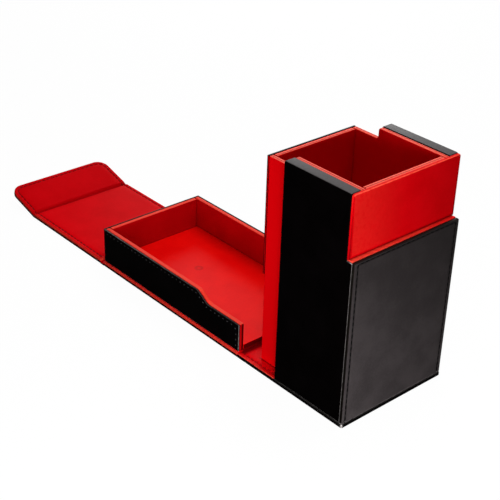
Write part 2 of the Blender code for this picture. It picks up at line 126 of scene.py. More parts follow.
# Seams
THREAD = 0.40 * MM  # radius
PITCH = 4.1 * MM
STITCH = 3.3 * MM
STITCH_RISE = 0.26 * MM  # of a stitch's middle over its surface
STITCH_DIVE = 0.50 * MM
SEAM_INSET = 3.0 * MM
BACK_SEAM_DROP = 1.5 * MM
SKIN_SEAM_INSET = 2.6 * MM
SEAM_CORNER = 3.0 * MM
BACK_SEAM_CORNER = 1.2 * MM
BACK_THREAD = 0.50 * MM
BACK_RISE = 0.75 * MM  # of the stitched panel's top over the spacer behind it
LEDGE_END = 1.7 * MM
SHORT_STITCH = 1.5 * MM
SEAM_DENT = 0.35 * MM
SEAM_WIDTH = 0.50 * MM

ROUND_STEPS = 4
CORNER_STEPS = 5
THREAD_SIDES = 6
THREAD_RINGS = 6
SHARP_ANGLE = math.radians(38)
# how much lighter a lining's turned edge is: rubbed wear and a painted highlight
EDGE_WEAR_AND_HIGHLIGHT = 0.60
LINING_PRESS = 0.20
PRESS_WIDTH = 0.45 * MM
BACK_PRESS = 0.80
BACK_PRESS_WIDTH = 0.65 * MM

SIDES = (("right", 1), ("left", -1))


class Value:
    """A number from a material's nodes, to be used in expressions."""

    def __init__(self, finish, socket):
        self.finish = finish
        self.socket = socket

    def maths(self, operation, *values):
        return self.finish.maths(operation, *values)

    def __add__(self, other):
        return self.maths("ADD", self, other)

    __radd__ = __add__

    def __sub__(self, other):
        return self.maths("SUBTRACT", self, other)

    def __rsub__(self, other):
        return self.maths("SUBTRACT", other, self)

    def __mul__(self, other):
        return self.maths("MULTIPLY", self, other)

    __rmul__ = __mul__

    def __truediv__(self, other):
        return self.maths("DIVIDE", self, other)

    def clamped(self):
        return self.maths("MINIMUM", self.maths("MAXIMUM", self, 0.0), 1.0)


class Finish:
    """A material made of nodes round one Principled shader."""

    def __init__(self, name, roughness, specular=0.5, metallic=0.0):
        self.material = bpy.data.materials.new(name)
        self.material.use_nodes = True
        self.tree = self.material.node_tree
        self.shader = self.tree.nodes["Principled BSDF"]
        self.shader.inputs["Roughness"].default_value = roughness
        self.shader.inputs["Specular IOR Level"].default_value = specular
        self.shader.inputs["Metallic"].default_value = metallic

    def node(self, kind, settings=None, inputs=None, output=0):
        made = self.tree.nodes.new(kind)
        for key, setting in (settings or {}).items():
            setattr(made, key, setting)
        for key, value in (inputs or {}).items():
            self.feed(made.inputs[key], value)
        return Value(self, made.outputs[output])

    def feed(self, socket, value):
        if isinstance(value, Value):
            self.tree.links.new(value.socket, socket)
        elif isinstance(value, (tuple, list)) and socket.type == "RGBA":
            socket.default_value = (*value[:3], 1.0)
        else:
            socket.default_value = value

    def maths(self, operation, *values):
        return self.node("ShaderNodeMath", {"operation": operation}, dict(enumerate(values)))

    def set(self, **values):
        for key, value in values.items():
            self.feed(self.shader.inputs[key.replace("_", " ")], value)

    def place(self):
        return self.node("ShaderNodeTexCoord", output="Object")

    def part(self, vector, axis):
        return self.node("ShaderNodeSeparateXYZ", {}, {"Vector": vector}, axis)

    def facing(self, axis):
        """1 on faces square to an axis, and 0 on those turned well away from it."""
        normal = self.node("ShaderNodeTexCoord", output="Normal")
        return self.ramp(self.part(normal, axis), 0.60, 0.97)

    def noise(self, size, detail=2.0, roughness=0.5):
        """Clouds whose blobs are about the given size across."""
        inputs = {"Vector": self.place(), "Scale": 1 / size, "Detail": detail, "Roughness": roughness}
        return self.node("ShaderNodeTexNoise", {"noise_dimensions": "3D"}, inputs)

    def cells(self, size, feature="F1", randomness=1.0):
        inputs = {"Vector": self.place(), "Scale": 1 / size, "Randomness": randomness}
        return self.node("ShaderNodeTexVoronoi", {"feature": feature}, inputs, "Distance")

    def mixed(self, share, first, second):
        """A colour between two."""
        settings = {"data_type": "RGBA", "blend_type": "MIX"}
        mixer = self.tree.nodes.new("ShaderNodeMix")
        for key, setting in settings.items():
            setattr(mixer, key, setting)
        for socket, value in zip((mixer.inputs[0], mixer.inputs[6], mixer.inputs[7]), (share, first, second)):
            self.feed(socket, value)
        return Value(self, mixer.outputs[2])

    def ramp(self, value, low, high):
        """0 below the low value, 1 above the high one, and smooth between."""
        settings = {"interpolation_type": "SMOOTHSTEP"}
        inputs = {"Value": value, "From Min": low, "From Max": high}
        return self.node("ShaderNodeMapRange", settings, inputs)

    def bumped(self, height, depth, strength=1.0):
        inputs = {"Height": height, "Distance": depth, "Strength": strength}
        return self.node("ShaderNodeBump", {}, inputs)


def make_leather(name, colour, light, roughness, specular, grain, depth, wear_and_light_colours, top_highlight_colour=None):
    """Coated artificial leather: fine cells with creases between them, soft clouds in colour and
    gloss, and, where a top-highlight colour is given, a painted highlight on faces that look up.
    A signed mark per point: above zero the leather is lighter, from rubbed wear and painted
    highlights; below zero it is darker, from pressed marks and painted shade."""
    finish = Finish(name, roughness, specular)
    clouds = finish.noise(18 * MM, 3.0)
    flecks = finish.noise(1.3 * MM, 2.0)
    tone = finish.ramp(clouds * 0.7 + flecks * 0.3, 0.34, 0.66)
    base = finish.mixed(tone, colour, light)
    wear = finish.node("ShaderNodeAttribute", {"attribute_name": "wear"}, {}, "Fac")
    # above zero the mark is rubbed wear and painted highlight, below zero pressed marks and painted shade
    rubbed_and_highlight_colour, pressed_and_shade_colour = wear_and_light_colours
    patches = finish.ramp(finish.noise(2.4 * MM, 3.0), 0.30, 0.60)
    base = finish.mixed((wear * (0.45 + patches * 0.55)).clamped(), base, rubbed_and_highlight_colour)
    base = finish.mixed((0 - wear).clamped(), base, pressed_and_shade_colour)
    # painted highlight: faces that look up are mixed towards a lighter colour
    if top_highlight_colour:
        base = finish.mixed((finish.facing("Z") * (0.70 + flecks * 0.55)).clamped(), base, top_highlight_colour)
    creases = finish.cells(grain, "DISTANCE_TO_EDGE")
    pores = finish.noise(grain * 0.45, 2.0)
    height = finish.ramp(creases, 0.0, 0.22) * 0.7 + pores * 0.5
    finish.set(
        Base_Color=base,
        Specular_Tint=SHEEN,
        Roughness=(roughness - 0.05) + clouds * 0.06 + flecks * 0.05,
        Normal=finish.bumped(height, depth),
    )
    return finish


def make_thread(name, colour):
    finish = Finish(name, 0.75, 0.06)
    twist = finish.node(
        "ShaderNodeTexWave",
        {"wave_type": "BANDS", "bands_direction": "DIAGONAL"},
        {"Vector": finish.place(), "Scale": 1 / (0.9 * MM), "Distortion": 1.5},
    )
    dark = tuple(channel * 0.6 for channel in colour)
    finish.set(Base_Color=finish.mixed(twist, dark, colour), Normal=finish.bumped(twist, 0.04 * MM))
    return finish


def make_board():
    finish = Finish("grey_board", 0.92, 0.2)
    fibres = finish.noise(0.8 * MM, 5.0, 0.7)
    finish.set(
        Base_Color=finish.mixed(fibres, (0.24, 0.22, 0.20), (0.36, 0.34, 0.31)),
        Normal=finish.bumped(fibres, 0.06 * MM),
    )
    return finish


def make_nickel():
    finish = Finish("nickel", 0.28, 0.5, 1.0)
    scratches = finish.noise(0.5 * MM, 4.0, 0.6)
    finish.set(
        Base_Color=finish.mixed(scratches, (0.50, 0.49, 0.47), (0.60, 0.59, 0.57)),
        Roughness=0.22 + scratches * 0.14,
    )
    return finish


def change_colour(finish, share, colour):
    """Mixes one more colour into a leather."""
    plain = finish.shader.inputs["Base Color"].links[0].from_socket
    finish.set(Base_Color=finish.mixed(share, Value(finish, plain), colour))


def make_floor_lining(spot, radius):
    """The tray floor's lining, in a lighter red that is painted light, with the faint round mark of
    the magnet under it, and painted shade on its end face.
    """
    finish = make_leather("tray_floor_lining", LIT_FLOOR_RED, LIT_FLOOR_RED_LIGHT, 0.32, 0.014, *RED_LEATHER[4:])
    away = finish.node("ShaderNodeVectorMath", {"operation": "DISTANCE"}, {0: finish.place(), 1: spot}, "Value")
    ring = finish.ramp(away, 0.0, radius) * (1 - finish.ramp(away, radius, radius * 1.8))
    change_colour(finish, ring * 0.3, RED_PRESSED_AND_SHADE)
    # painted shade on the end face that looks towards the tower
    change_colour(finish, finish.facing("Y"), RED_SHADE)
    return finish


def make_neck_lining(name, axis, crease, lit_from):
    """The neck's walls. The lining has painted shade down in the shaft, which fades out towards the
    mouth above a height, painted light on the outer faces, and a painted highlight on the faces
    that look up. The rim has a crease where it is folded over, darkened by painted shade."""
    finish = make_leather(name, *RED_LEATHER, NECK_TOP_HIGHLIGHT)
    up = finish.part(finish.place(), "Z")
    change_colour(finish, (1 - finish.ramp(up, lit_from, lit_from + SHAFT_FADE)) * (1 - finish.facing("Z")), SHAFT_SHADE_RED)
    across = finish.maths("ABSOLUTE", finish.part(finish.place(), axis))
    outer_face = crease + NECK_CREASE
    change_colour(finish, finish.ramp(across, outer_face - 0.2 * MM, outer_face - 0.05 * MM), OUTER_LIT_RED)
    away = finish.maths("ABSOLUTE", across - crease)
    change_colour(finish, (1 - finish.ramp(away, 0.10 * MM, 0.45 * MM)) * finish.facing("Z"), RED_CREASE_SHADE)
    return finish


def make_tray_lining(crease):
    """The tray's side walls, in a darker red that is painted shade, with a painted highlight on the
    faces that look up. At their open end the lining's inner part is folded in, and painted shade darkens it.
    """
    finish = make_leather("shaded_tray_side_lining", TRAY_SIDE_SHADE_RED, TRAY_SIDE_SHADE_RED_LIGHT, *RED_LEATHER[2:], RED_TOP_HIGHLIGHT)
    across = finish.maths("ABSOLUTE", finish.part(finish.place(), "X"))
    open_end_shade = 1 - finish.ramp(across, crease, crease + 0.5 * MM)
    change_colour(finish, open_end_shade * finish.facing("Y"), RED_SHADE)
    return finish


def make_facing_leather(backing):
    """The facing on the neck's front. Its edge shows the red backing behind the black leather."""
    finish = make_leather("facing_leather", *BLACK_LEATHER)
    behind = finish.part(finish.place(), "Y")
    change_colour(finish, finish.ramp(behind, backing, backing + 0.1 * MM) * finish.facing("X"), RED)
    return finish


SHEEN = (1.0, 0.78, 0.62)
RED = (0.660, 0.0004, 0.0030)
RED_LIGHT = (0.730, 0.0010, 0.0045)
# painted light: a lighter copy of the red for the tray floor
LIT_FLOOR_RED = (0.790, 0.0012, 0.0016)
LIT_FLOOR_RED_LIGHT = (0.860, 0.0030, 0.0022)
# painted light: a lighter red for the neck's outer faces
OUTER_LIT_RED = (0.800, 0.0005, 0.0030)
# painted shade: a darker red down in the shaft
SHAFT_SHADE_RED = (0.535, 0.0003, 0.0026)
# painted shade: darker copies of the red for the tray's end wall and side walls
TRAY_END_SHADE_RED = (0.375, 0.0003, 0.0022)
TRAY_END_SHADE_RED_LIGHT = (0.425, 0.0007, 0.0030)
TRAY_SIDE_SHADE_RED = (0.440, 0.0003, 0.0024)
TRAY_SIDE_SHADE_RED_LIGHT = (0.500, 0.0008, 0.0034)
# lighter red: rubbed wear, and painted highlights
RED_RUBBED_AND_HIGHLIGHT = (0.97, 0.080, 0.046)
# painted highlights for the faces that look up, on red walls and on the neck's rims
RED_TOP_HIGHLIGHT = (0.84, 0.050, 0.028)
NECK_TOP_HIGHLIGHT = (0.90, 0.110, 0.070)
# darker red: pressed seams and marks, and painted shade
RED_PRESSED_AND_SHADE = (0.16, 0.0003, 0.0015)
# painted shade in the crease on the neck's rim
RED_CREASE_SHADE = (0.30, 0.0004, 0.0010)
RED_SHADE = (0.090, 0.0003, 0.0006)
BLACK = (0.0006, 0.0004, 0.0004)
BLACK_LIGHT = (0.0012, 0.0008, 0.0009)
# lighter black: rubbed and frayed wear, and painted highlights
BLACK_RUBBED_AND_HIGHLIGHT = (0.75, 0.70, 0.68)
# painted sheen for the black leather's faces that look up
BLACK_TOP_HIGHLIGHT = (0.085, 0.079, 0.080)
# darker black: pressed seams, and painted shade
BLACK_PRESSED_AND_SHADE = (0.0004, 0.0003, 0.0003)
# the grained leather's own charcoal grey, made lighter to stand in for part of its sheen: partly painted sheen
CHARCOAL = (0.053, 0.0450, 0.0465)
CHARCOAL_LIGHT = (0.080, 0.0680, 0.0700)

RED_LEATHER = (RED, RED_LIGHT, 0.32, 0.011, 0.9 * MM, 0.010 * MM, (RED_RUBBED_AND_HIGHLIGHT, RED_PRESSED_AND_SHADE))
BLACK_LEATHER = (BLACK, BLACK_LIGHT, 0.32, 0.025, 0.8 * MM, 0.012 * MM, (BLACK_RUBBED_AND_HIGHLIGHT, BLACK_PRESSED_AND_SHADE))
LINING = make_leather("red_lining", *RED_LEATHER)
# red walls with a painted highlight on the faces that look up
WALL_LINING = make_leather("red_wall_lining", *RED_LEATHER, RED_TOP_HIGHLIGHT)
# the tray's end wall, in a darker red that is painted shade
SHADED_TRAY_END_LINING = make_leather("shaded_tray_end_lining", TRAY_END_SHADE_RED, TRAY_END_SHADE_RED_LIGHT, *RED_LEATHER[2:], RED_TOP_HIGHLIGHT)
COVER_LINING = make_leather("cover_lining", RED, RED_LIGHT, 0.32, 0.0035, *RED_LEATHER[4:])
SMOOTH_BLACK = make_leather("smooth_black_leather", *BLACK_LEATHER)
# black side panels with a painted sheen on the faces that look up
SIDE_BLACK = make_leather("side_black_leather", BLACK, BLACK_LIGHT, 0.32, 0.012, *BLACK_LEATHER[4:], BLACK_TOP_HIGHLIGHT)
GRAINED_BLACK = make_leather(
    "grained_black_leather", CHARCOAL, CHARCOAL_LIGHT, 0.52, 0.10, 0.7 * MM, 0.030 * MM, (BLACK_RUBBED_AND_HIGHLIGHT, BLACK_PRESSED_AND_SHADE)
)
RED_THREAD = make_thread("red_thread", (0.230, 0.0005, 0.0030))
BRIGHT_THREAD = make_thread("bright_red_thread", (0.420, 0.0008, 0.0030))
BLACK_THREAD = make_thread("black_thread", (0.0015, 0.0014, 0.0015))
GREY_THREAD = make_thread("grey_thread", (0.055, 0.053, 0.053))
BOARD = make_board()
NICKEL = make_nickel()


def smooth(share):
    share = min(1.0, max(0.0, share))
    return share * share * (3 - 2 * share)


def finish_mesh(name, bm, finish, slot):
    bmesh.ops.recalc_face_normals(bm, faces=bm.faces)
    mesh = bpy.data.meshes.new(name)
    bm.to_mesh(mesh)
    bm.free()
    mesh.shade_smooth()
    mesh.set_sharp_from_angle(angle=SHARP_ANGLE)
    mesh.materials.append(finish.material)
    made = bpy.data.objects.new(name, mesh)
    bpy.context.scene.collection.objects.link(made)
    return made


class Plan:
    """A sheet's outline: straight sides, and corners rounded at its start and at its end."""

    def __init__(self, half, start, end, start_radius=SMALL_CORNER, end_radius=SMALL_CORNER):
        self.half = half
        self.start = start
        self.end = end
        self.ends = ((start, 1, start_radius), (end, -1, end_radius))

    def half_at(self, run):
        for place, direction, radius in self.ends:
            left = radius - (run - place) * direction
            if left > 0:
                return self.half - radius + math.sqrt(max(0.0, radius**2 - left**2))
        return self.half

    def depth(self, x, run):
        """How far a point lies inside the outline."""
        across = self.half - abs(x)
        depth = across
        for place, direction, radius in self.ends:
            reach = (run - place) * direction
            if across < radius and reach < radius:
                reach = radius - math.hypot(radius - across, radius - reach)
            depth = min(depth, reach)
        return max(0.0, depth)

    def runs(self, insets, extra):
        runs = list(extra)
        for place, direction, radius in self.ends:
            runs += [place + direction * inset for inset in insets]
            for step in range(1, CORNER_STEPS + 1):
                runs.append(place + direction * radius * (1 - math.cos(math.pi / 2 * step / CORNER_STEPS)))
        kept = []
        for run in sorted(runs):
            if self.start <= run <= self.end and (not kept or run - kept[-1] > 0.02 * MM):
                kept.append(run)
        kept[-1] = self.end
        return kept


def edge_insets(rounding, skin, seams=()):
    """Where a sheet needs points, measured in from its edge."""
    insets = [rounding * (1 - math.cos(math.pi / 2 * step / ROUND_STEPS)) for step in range(ROUND_STEPS + 1)]
    insets += [skin * 0.96, skin * 1.04, rounding + skin]
    for seam in seams:
        insets += [seam + SEAM_WIDTH * share for share in (-2.2, -1, -0.5, 0, 0.5, 1, 2.2)]
    insets.append(max(insets) + SEAM_INSET)
    kept = []
    for inset in sorted(insets):
        if not kept or inset - kept[-1] > 0.015 * MM:
            kept.append(inset)
    return kept


def line_strength(away, width=PRESS_WIDTH):
    """How strongly a line's mark shows at a distance from it: a seam's pressed line, and lines of painted light and
    shade.
    """
    return math.exp(-((away / width) ** 2))


def lining_wear(x, run, depth):
    """A lining is rubbed lighter at its turned edge, with a painted highlight there too, and pressed where the seam
    runs.
    """
    return EDGE_WEAR_AND_HIGHLIGHT * math.exp(-((depth / (0.45 * MM)) ** 2)) - LINING_PRESS * line_strength(depth - SEAM_INSET)


def fold_shade(x, run):
    """The lining between the tray's walls is darker from the fold to the tray's floor."""
    return smooth((COVER_HALF - abs(x)) / MM - 2.5) * smooth((run + TRAY_FOLD.y) / (3 * MM) + 0.5)


def rounded(depth, radius):
    """How far a rounded edge falls below its face, at a depth in from the edge."""
    if depth >= radius:
        return 0.0
    return radius - math.sqrt(max(0.0, radius**2 - (radius - depth) ** 2))


def dent(depth, seam):
    return SEAM_DENT * math.exp(-(((depth - seam) / SEAM_WIDTH) ** 2))


def build_sheet(name, plan, outer, inner, place, finish, slot, insets, extra_runs=(), wear=None):
    """A closed sheet over a plan. Its outer and inner faces are heights at each point, and place
    carries a point from across, along and up into the frame. The last function gives each point's
    signed mark of wear and painted light."""
    bm = bmesh.new()
    wear_and_light_layer = bm.verts.layers.float.new("wear")
    rows = []
    for run in plan.runs(insets, extra_runs):
        half = plan.half_at(run)
        inside = half - insets[-1]
        middle = [inside * (step / 4 - 1) for step in range(1, 8)]
        xs = [-(half - inset) for inset in insets] + middle + [half - inset for inset in reversed(insets)]
        row = []
        for x in xs:
            depth = plan.depth(x, run)
            pair = []
            for height in (outer(x, run, depth), inner(x, run, depth)):
                vertex = bm.verts.new(place(x, run, height))
                vertex[wear_and_light_layer] = wear(x, run, depth) if wear else 0.0
                pair.append(vertex)
            row.append(pair)
        rows.append(row)
    for first, second in zip(rows, rows[1:]):
        for left in range(len(first) - 1):
            for face in (0, 1):
                corners = (first[left], first[left + 1], second[left + 1], second[left])
                bm.faces.new([corner[face] for corner in corners])
    border = rows[0] + [row[-1] for row in rows[1:]] + rows[-1][-2::-1] + [row[0] for row in rows[-2:0:-1]]
    for number, corner in enumerate(border):
        following = border[(number + 1) % len(border)]
        bm.faces.new((corner[0], following[0], following[1], corner[1]))
    return finish_mesh(name, bm, finish, slot)


def outline(corners, radii, insets=0.0):
    """A counter-clockwise outline, drawn in by one inset or by one for each edge, with arcs at its
    corners. Edge number n runs from corner n to the next one."""
    corners = [Vector(corner) for corner in corners]
    count = len(corners)
    insets = list(insets) if isinstance(insets, (list, tuple)) else [insets] * count
    points = []
    for number, corner in enumerate(corners):
        along_in = (corner - corners[number - 1]).normalized()
        along_out = (corners[(number + 1) % count] - corner).normalized()
        normal_in = Vector((-along_in.y, along_in.x))
        normal_out = Vector((-along_out.y, along_out.x))
        common = normal_in.dot(normal_out)
        inset_in, inset_out = insets[number - 1], insets[number]
        share_in = (inset_in - inset_out * common) / (1 - common**2)
        share_out = (inset_out - inset_in * common) / (1 - common**2)
        drawn_in = corner + normal_in * share_in + normal_out * share_out
        turn = -normal_in.angle_signed(normal_out)
        side = math.copysign(1, turn)
        radius = radii[number] - side * min(inset_in, inset_out)
        if radii[number] == 0:
            points.append(drawn_in)
            continue
        radius = max(radius, LEAST_RADIUS)
        bisector = (normal_in + normal_out) / (1 + common)
        centre = drawn_in + bisector * radius * side
        for step in range(CORNER_STEPS + 1):
            spoke = Matrix.Rotation(turn * step / CORNER_STEPS, 2) @ normal_in
            points.append(centre - spoke * radius * side)
    return points


def build_plate(name, corners, radii, profile, place, finish, slot, wear=None):
    """A plate or a turned skin. Its profile runs from the outer face to the inner one, as an inset
    from the outline, a level, and the edge's share: 1 where it sticks out most. The last function
    gives the signed mark of wear and painted light from a point of the outline and that share."""
    bm = bmesh.new()
    wear_and_light_layer = bm.verts.layers.float.new("wear")
    loops = []
    for inset, level, share in profile:
        loop = []
        for point in outline(corners, radii, inset):
            vertex = bm.verts.new(place(point.x, point.y, level))
            vertex[wear_and_light_layer] = wear(point.x, point.y, share) if wear else 0.0
            loop.append(vertex)
        loops.append(loop)
    for first, second in zip(loops, loops[1:]):
        for number in range(len(first)):
            following = (number + 1) % len(first)
            bm.faces.new((first[number], first[following], second[following], second[number]))
    bm.faces.new(loops[0])
    bm.faces.new(loops[-1])
    return finish_mesh(name, bm, finish, slot)


def rounded_profile(thickness, rounding):
    """The outer face and its rounded edge, as a plate's profile from the face down to the edge."""
    profile = [(rounding * 3, thickness, 0.0), (rounding * 1.3, thickness, 0.0)]
    for step in range(ROUND_STEPS, -1, -1):
        angle = math.pi / 2 * step / ROUND_STEPS
        inset = rounding * (1 - math.cos(angle))
        profile.append((inset, thickness - rounding * (1 - math.sin(angle)), math.sin(2 * angle)))
    return profile


def build_seam(name, path, place, surface, finish, slot, stitch=STITCH, thread=THREAD):
    """A row of stitches along a path. Each dives into the leather at both ends."""
    bm = bmesh.new()
    lengths = [0.0]
    for first, second in zip(path, path[1:]):
        lengths.append(lengths[-1] + (second - first).length)

    def point_at(length):
        length = min(max(length, 0.0), lengths[-1])
        for number in range(1, len(path)):
            if length <= lengths[number]:
                share = (length - lengths[number - 1]) / (lengths[number] - lengths[number - 1])
                return path[number - 1].lerp(path[number], share)
        return path[-1]

    count = max(1, round(lengths[-1] / PITCH))
    pitch = lengths[-1] / count
    long = pitch * stitch / PITCH
    for number in range(count):
        begin = number * pitch + (pitch - long) / 2
        rings = []
        for ring in range(THREAD_RINGS + 1):
            share = ring / THREAD_RINGS
            reach = begin + long * share
            here = point_at(reach)
            ahead = (point_at(reach + thread) - point_at(reach - thread)).normalized()
            aside = Vector((-ahead.y, ahead.x))
            arch = 1 - (2 * share - 1) ** 4
            middle = surface - STITCH_DIVE + (STITCH_RISE + STITCH_DIVE - thread) * arch
            radius = thread * (0.55 + 0.45 * arch)
            loop = []
            for side in range(THREAD_SIDES):
                angle = math.tau * side / THREAD_SIDES
                spot = here + aside * radius * math.cos(angle)
                loop.append(bm.verts.new(place(spot.x, spot.y, middle + radius * math.sin(angle))))
            rings.append(loop)
        for first, second in zip(rings, rings[1:]):
            for side in range(THREAD_SIDES):
                following = (side + 1) % THREAD_SIDES
                bm.faces.new((first[side], first[following], second[following], second[side]))
        bm.faces.new(rings[0])
        bm.faces.new(rings[-1])
    return finish_mesh(name, bm, finish, slot)


FOLDS = {joint["name"]: Vector(joint["pos_m"]) for joint in frame["joints"]}
FLAP_FOLD = FOLDS["flap_hinge"]
LID_FOLD = FOLDS["lid_hinge"]
TRAY_FOLD = FOLDS["tray_hinge"]
COVER_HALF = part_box("base_leather")[1].x


def on_cover_end(x, run, height):
    """From the lid and the flap laid flat, along from the flap's fold line, to where they rest."""
    turn = FLAP_TILT * smooth((run + FLAP_BEND) / (2 * FLAP_BEND))
    along = run * math.cos(turn) - height * math.sin(turn)
    up = run * math.sin(turn) + height * math.cos(turn)
    return Vector((x, FLAP_FOLD.y - along, up))


def on_strip(x, run, height):
    """Along the strip from the origin, towards the tray."""
    return Vector((x, -run, height))


def valley(x, run):
    """How deep the lining sinks between the boards at the flap's fold: 1 in the middle."""
    across = smooth((COVER_HALF - abs(x) - 1.2 * MM) / SEAM_INSET)
    share = VALLEY_MARGIN_SHARE + (1 - VALLEY_MARGIN_SHARE) * across
    return share * (1 - smooth((abs(run) - VALLEY_FLOOR) / (VALLEY_HALF - VALLEY_FLOOR)))


def steps(low, high, count):
    return [low + (high - low) * step / count for step in range(count + 1)]


def make_cover_end():
    """The lid and the flap: the lining with its turned edge, the leather below, and their seams."""
    low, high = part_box("lid_lining")
    leather_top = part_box("lid_leather")[1].z
    start = FLAP_FOLD.y - high.y
    end = (FLAP_FOLD.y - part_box("flap_leather")[0].y) / math.cos(FLAP_TILT)
    plan = Plan(COVER_HALF, start, end, SMALL_CORNER, FLAP_CORNER)
    valley_depth = high.z - low.z - TURNED_LINING
    fold_runs = steps(-VALLEY_HALF - MM, VALLEY_HALF + MM, 20)
    body_runs = steps(start, end, 12)

    def lining_top(x, run, depth):
        sunk = valley_depth * valley(x, run)
        return high.z - sunk - rounded(depth, LINING_ROUND) * (1 - 0.5 * sunk / valley_depth) - dent(depth, SEAM_INSET)

    def lining_under(x, run, depth):
        if depth < TURNED_LINING:
            return low.z + EDGE_RISE
        return max(low.z, lining_top(x, run, depth) - TURNED_LINING)

    def leather_under(x, run, depth):
        return rounded(depth, LEATHER_ROUND) + dent(depth, SEAM_INSET)

    def leather_upper(x, run, depth):
        return leather_top + EDGE_RISE if depth < TURNED_LINING else leather_top

    def wear(x, run, depth):
        """Painted shade: the flap is a little darker than the lid, and the fold between them darker still."""
        return lining_wear(x, run, depth) - 0.20 * smooth(run / VALLEY_HALF) - 0.6 * line_strength(run, 2.4 * MM)

    lining_insets = edge_insets(LINING_ROUND, TURNED_LINING, (SEAM_INSET,))
    lining = build_sheet(
        "cover_end_lining", plan, lining_top, lining_under, on_cover_end, COVER_LINING, "red_leather",
        lining_insets, fold_runs + body_runs, wear,
    )
    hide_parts("lid_lining", "flap_hinge_lining", "flap_lining")
    leather_insets = edge_insets(LEATHER_ROUND, TURNED_LINING, (SEAM_INSET,))
    leather = build_sheet(
        "cover_end_leather", plan, leather_under, leather_upper, on_cover_end, SMOOTH_BLACK,
        "black_leather", leather_insets, fold_runs + body_runs,
    )
    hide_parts("lid_leather", "flap_hinge_leather", "flap_leather")

    corners = [(-COVER_HALF, start), (COVER_HALF, start), (COVER_HALF, end), (-COVER_HALF, end)]
    radii = [SMALL_CORNER, SMALL_CORNER, FLAP_CORNER, FLAP_CORNER]
    loop = outline(corners, radii, SEAM_INSET)
    first = next(number for number, point in enumerate(loop) if point.x > 0)
    path = loop[first:] + loop[:first]
    path = [Vector((path[0].x, start + 2 * MM))] + path[1:-1] + [Vector((path[-1].x, start + 2 * MM))]
    dense = thicken(path, MM)

    def on_lining(x, run, height):
        across = Vector((x, run))
        return on_cover_end(x, run, height + lining_top(across.x, across.y, SEAM_INSET) + SEAM_DENT)

    def under_leather(x, run, height):
        return on_cover_end(x, run, -height)

    upper = build_seam("cover_end_seam", dense, on_lining, 0.0, RED_THREAD, "red_leather")
    lower = build_seam("cover_end_outer_seam", dense, under_leather, -STITCH_RISE, BLACK_THREAD, "black_leather")
    bend_from = on_cover_end(0, -FLAP_BEND, 0)
    bend_to = on_cover_end(0, FLAP_BEND, 0)
    for piece in (lining, leather, upper, lower):
        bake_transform(piece)


def thicken(path, spacing):
    """The same path with points close enough to follow a fold."""
    dense = [path[0]]
    for first, second in zip(path, path[1:]):
        count = max(1, math.ceil((second - first).length / spacing))
        dense += [first.lerp(second, step / count) for step in range(1, count + 1)]
    return dense


def make_lid_fold():
    """The sheets across the fold between the tray and the lid."""
    for name, finish, slot in (("lining", LINING, "red_leather"), ("leather", SMOOTH_BLACK, "black_leather")):
        low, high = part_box(f"lid_hinge_{name}")
        start = -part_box(f"tray_{name}")[0].y + SHEET_GAP
        end = -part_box(f"lid_{name}")[1].y - SHEET_GAP
        plan = Plan(COVER_HALF, start, end, 0.1 * MM, 0.1 * MM)
        bottom, top = low.z, high.z

        def outer(x, run, depth):
            across = COVER_HALF - abs(x)
            return top - rounded(across, 0.2 * MM)

        def inner(x, run, depth):
            return bottom

        insets = edge_insets(0.2 * MM, 0.2 * MM)
        fold = -LID_FOLD.y
        runs = steps(fold - LID_BEND, min(end, fold + LID_BEND), 8) + steps(start, end, 4)
        piece = build_sheet(f"lid_fold_{name}", plan, outer, inner, on_strip, finish, slot, insets, runs)
        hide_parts(f"lid_hinge_{name}")
        on_strip(0, fold - LID_BEND, 0)
        on_strip(0, fold + LID_BEND, 0)
        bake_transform(piece)


def make_tray_cover():
    """The tray's panel: the leather below and the lining turned down round its edges."""
    low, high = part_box("tray_lining")
    plan = Plan(COVER_HALF, -high.y, -low.y)
    leather_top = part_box("tray_leather")[1].z

    def lining_top(x, run, depth):
        return high.z - rounded(depth, LINING_ROUND)

    def lining_under(x, run, depth):
        return low.z + EDGE_RISE if depth < TURNED_LINING else high.z - TURNED_LINING

    # rubbed lighter with a painted highlight at the edges, and painted shade in the fold
    def wear(x, run, depth):
        return lining_wear(x, run, COVER_HALF - abs(x)) - fold_shade(x, run)

    insets = edge_insets(LINING_ROUND, TURNED_LINING)
    lining = build_sheet(
        "tray_cover_lining", plan, lining_top, lining_under, on_strip, LINING, "red_leather", insets,
        steps(plan.start, plan.end, 8), wear,
    )
    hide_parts("tray_lining")

    def leather_under(x, run, depth):
        return rounded(depth, LEATHER_ROUND) + dent(COVER_HALF - abs(x), SEAM_INSET)

    def leather_upper(x, run, depth):
        return leather_top + EDGE_RISE if depth < TURNED_LINING else leather_top

    insets = edge_insets(LEATHER_ROUND, TURNED_LINING, (SEAM_INSET,))
    leather = build_sheet(
        "tray_cover_leather", plan, leather_under, leather_upper, on_strip, SMOOTH_BLACK,
        "black_leather", insets, steps(plan.start, plan.end, 8),
    )
    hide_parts("tray_leather")
    pieces = [lining, leather]
    for side, sign in SIDES:
        x = sign * (COVER_HALF - SEAM_INSET)
        path = [Vector((x, plan.start + 2 * MM)), Vector((x, plan.end - 2 * MM))]

        def under_leather(x, run, height):
            return on_strip(x, run, -height)

        pieces.append(
            build_seam(
                f"tray_cover_seam_{side}", path, under_leather, -STITCH_RISE, BLACK_THREAD, "black_leather"
            )
        )
    for piece in pieces:
        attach(piece, "tray")


